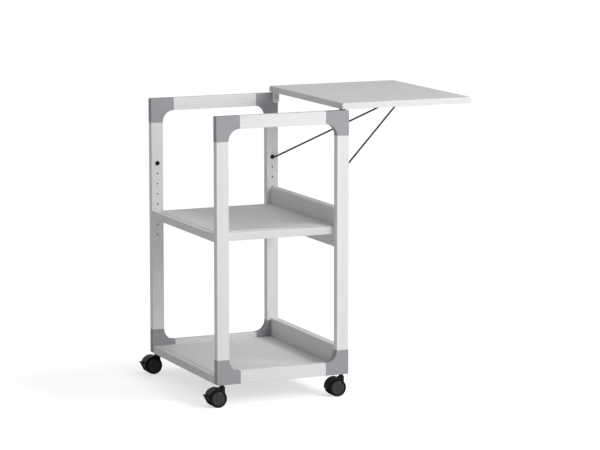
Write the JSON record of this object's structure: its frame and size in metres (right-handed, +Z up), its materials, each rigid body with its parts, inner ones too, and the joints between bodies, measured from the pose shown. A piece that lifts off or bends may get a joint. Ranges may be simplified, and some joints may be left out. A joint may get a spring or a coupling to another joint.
{
  "type": "instrument cart",
  "caption": "Wheeled instrument cart: two box-profile side frames, two shelves with back panels, and a folding side shelf on a wire stay.",
  "frame": {"origin": "centre of the whole cart's box, on the floor", "axes": "+Z up, +Y towards the back with the folding shelf, +X to the right seen from the front"},
  "size_m": [0.5396, 0.8226, 0.831],
  "materials": {
    "profile": "satin off-white lacquer on box profile",
    "corner_block": "moulded mid grey with a fine grain",
    "powder_coat": "light grey powder coat with a fine texture",
    "zinc_steel": "zinc plated",
    "stay_wire": "dark grey coated wire",
    "black_plastic": "moulded black",
    "wheel": "charcoal polyamide"
  },
  "bodies": {
    "root": {"upright_front_right": "profile", "upright_front_left": "profile", "upright_back_right": "profile", "upright_back_left": "profile", "beam_top_right": "profile", "beam_top_left": "profile", "beam_bottom_right": "profile", "beam_bottom_left": "profile", "corner_block_top_front_right": "corner_block", "corner_block_top_front_left": "corner_block", "corner_block_top_back_right": "corner_block", "corner_block_top_back_left": "corner_block", "corner_block_bottom_front_right": "corner_block", "corner_block_bottom_front_left": "corner_block", "corner_block_bottom_back_right": "corner_block", "corner_block_bottom_back_left": "corner_block", "bottom_shelf": "powder_coat", "middle_shelf": "powder_coat", "bottom_back_panel": "powder_coat", "middle_back_panel": "powder_coat", "shelf_screw_front_right": "zinc_steel", "stay_bush_front_right": "black_plastic", "castor_stem_front_right": "zinc_steel", "shelf_screw_front_left": "zinc_steel", "stay_bush_front_left": "black_plastic", "castor_stem_front_left": "zinc_steel", "shelf_screw_back_right": "zinc_steel", "stay_bush_back_right": "black_plastic", "castor_stem_back_right": "zinc_steel", "shelf_screw_back_left": "zinc_steel", "stay_bush_back_left": "black_plastic", "castor_stem_back_left": "zinc_steel", "hinge_washer_right": "zinc_steel", "hinge_bolt_right": "zinc_steel", "hinge_washer_left": "zinc_steel", "hinge_bolt_left": "zinc_steel"},
    "folding_shelf": {"folding_shelf": "powder_coat", "hinge_ear_right": "powder_coat", "hinge_ear_left": "powder_coat", "stay_catch": "black_plastic"},
    "stay": {"stay": "stay_wire"},
    "castor_front_right": {"castor_hood_front_right": "black_plastic", "castor_axle_front_right": "zinc_steel"},
    "wheel_outer_front_right": {"castor_wheel_outer_front_right": "wheel"},
    "wheel_inner_front_right": {"castor_wheel_inner_front_right": "wheel"},
    "brake_right": {"brake_lever_right": "black_plastic"},
    "castor_front_left": {"castor_hood_front_left": "black_plastic", "castor_axle_front_left": "zinc_steel"},
    "wheel_outer_front_left": {"castor_wheel_outer_front_left": "wheel"},
    "wheel_inner_front_left": {"castor_wheel_inner_front_left": "wheel"},
    "brake_left": {"brake_lever_left": "black_plastic"},
    "castor_back_right": {"castor_hood_back_right": "black_plastic", "castor_axle_back_right": "zinc_steel"},
    "wheel_outer_back_right": {"castor_wheel_outer_back_right": "wheel"},
    "wheel_inner_back_right": {"castor_wheel_inner_back_right": "wheel"},
    "castor_back_left": {"castor_hood_back_left": "black_plastic", "castor_axle_back_left": "zinc_steel"},
    "wheel_outer_back_left": {"castor_wheel_outer_back_left": "wheel"},
    "wheel_inner_back_left": {"castor_wheel_inner_back_left": "wheel"}
  },
  "joints": [
    {"name": "fold_hinge", "type": "hinge", "parent": "root", "child": "folding_shelf", "pos_m": [0, 0.01733, 0.798], "axis": [1, 0, 0], "range_deg": [-85, 0]},
    {"name": "stay_hinge", "type": "hinge", "parent": "root", "child": "stay", "pos_m": [0, 0.00734, 0.622], "axis": [1, 0, 0], "range_deg": [-108, 0]},
    {"name": "swivel_front_right", "type": "hinge", "parent": "root", "child": "castor_front_right", "pos_m": [0.249, -0.35667, 0.055], "axis": [0, 0, 1], "continuous": true},
    {"name": "roll_outer_front_right", "type": "hinge", "parent": "castor_front_right", "child": "wheel_outer_front_right", "pos_m": [0.249, -0.37467, 0.025], "axis": [1, 0, 0], "continuous": true},
    {"name": "roll_inner_front_right", "type": "hinge", "parent": "castor_front_right", "child": "wheel_inner_front_right", "pos_m": [0.249, -0.37467, 0.025], "axis": [1, 0, 0], "continuous": true},
    {"name": "brake_right", "type": "hinge", "parent": "castor_front_right", "child": "brake_right", "pos_m": [0.249, -0.39283, 0.03055], "axis": [1, 0, 0], "range_deg": [0, 25]},
    {"name": "swivel_front_left", "type": "hinge", "parent": "root", "child": "castor_front_left", "pos_m": [-0.249, -0.35667, 0.055], "axis": [0, 0, 1], "continuous": true},
    {"name": "roll_outer_front_left", "type": "hinge", "parent": "castor_front_left", "child": "wheel_outer_front_left", "pos_m": [-0.249, -0.37467, 0.025], "axis": [1, 0, 0], "continuous": true},
    {"name": "roll_inner_front_left", "type": "hinge", "parent": "castor_front_left", "child": "wheel_inner_front_left", "pos_m": [-0.249, -0.37467, 0.025], "axis": [1, 0, 0], "continuous": true},
    {"name": "brake_left", "type": "hinge", "parent": "castor_front_left", "child": "brake_left", "pos_m": [-0.249, -0.39283, 0.03055], "axis": [1, 0, 0], "range_deg": [0, 25]},
    {"name": "swivel_back_right", "type": "hinge", "parent": "root", "child": "castor_back_right", "pos_m": [0.249, 0.00734, 0.055], "axis": [0, 0, 1], "continuous": true},
    {"name": "roll_outer_back_right", "type": "hinge", "parent": "castor_back_right", "child": "wheel_outer_back_right", "pos_m": [0.249, -0.01066, 0.025], "axis": [1, 0, 0], "continuous": true},
    {"name": "roll_inner_back_right", "type": "hinge", "parent": "castor_back_right", "child": "wheel_inner_back_right", "pos_m": [0.249, -0.01066, 0.025], "axis": [1, 0, 0], "continuous": true},
    {"name": "swivel_back_left", "type": "hinge", "parent": "root", "child": "castor_back_left", "pos_m": [-0.249, 0.00734, 0.055], "axis": [0, 0, 1], "continuous": true},
    {"name": "roll_outer_back_left", "type": "hinge", "parent": "castor_back_left", "child": "wheel_outer_back_left", "pos_m": [-0.249, -0.01066, 0.025], "axis": [1, 0, 0], "continuous": true},
    {"name": "roll_inner_back_left", "type": "hinge", "parent": "castor_back_left", "child": "wheel_inner_back_left", "pos_m": [-0.249, -0.01066, 0.025], "axis": [1, 0, 0], "continuous": true}
  ],
  "couplings": [
    {"joint": "stay_hinge", "follows": "fold_hinge", "ratio": 1.27}
  ]
}
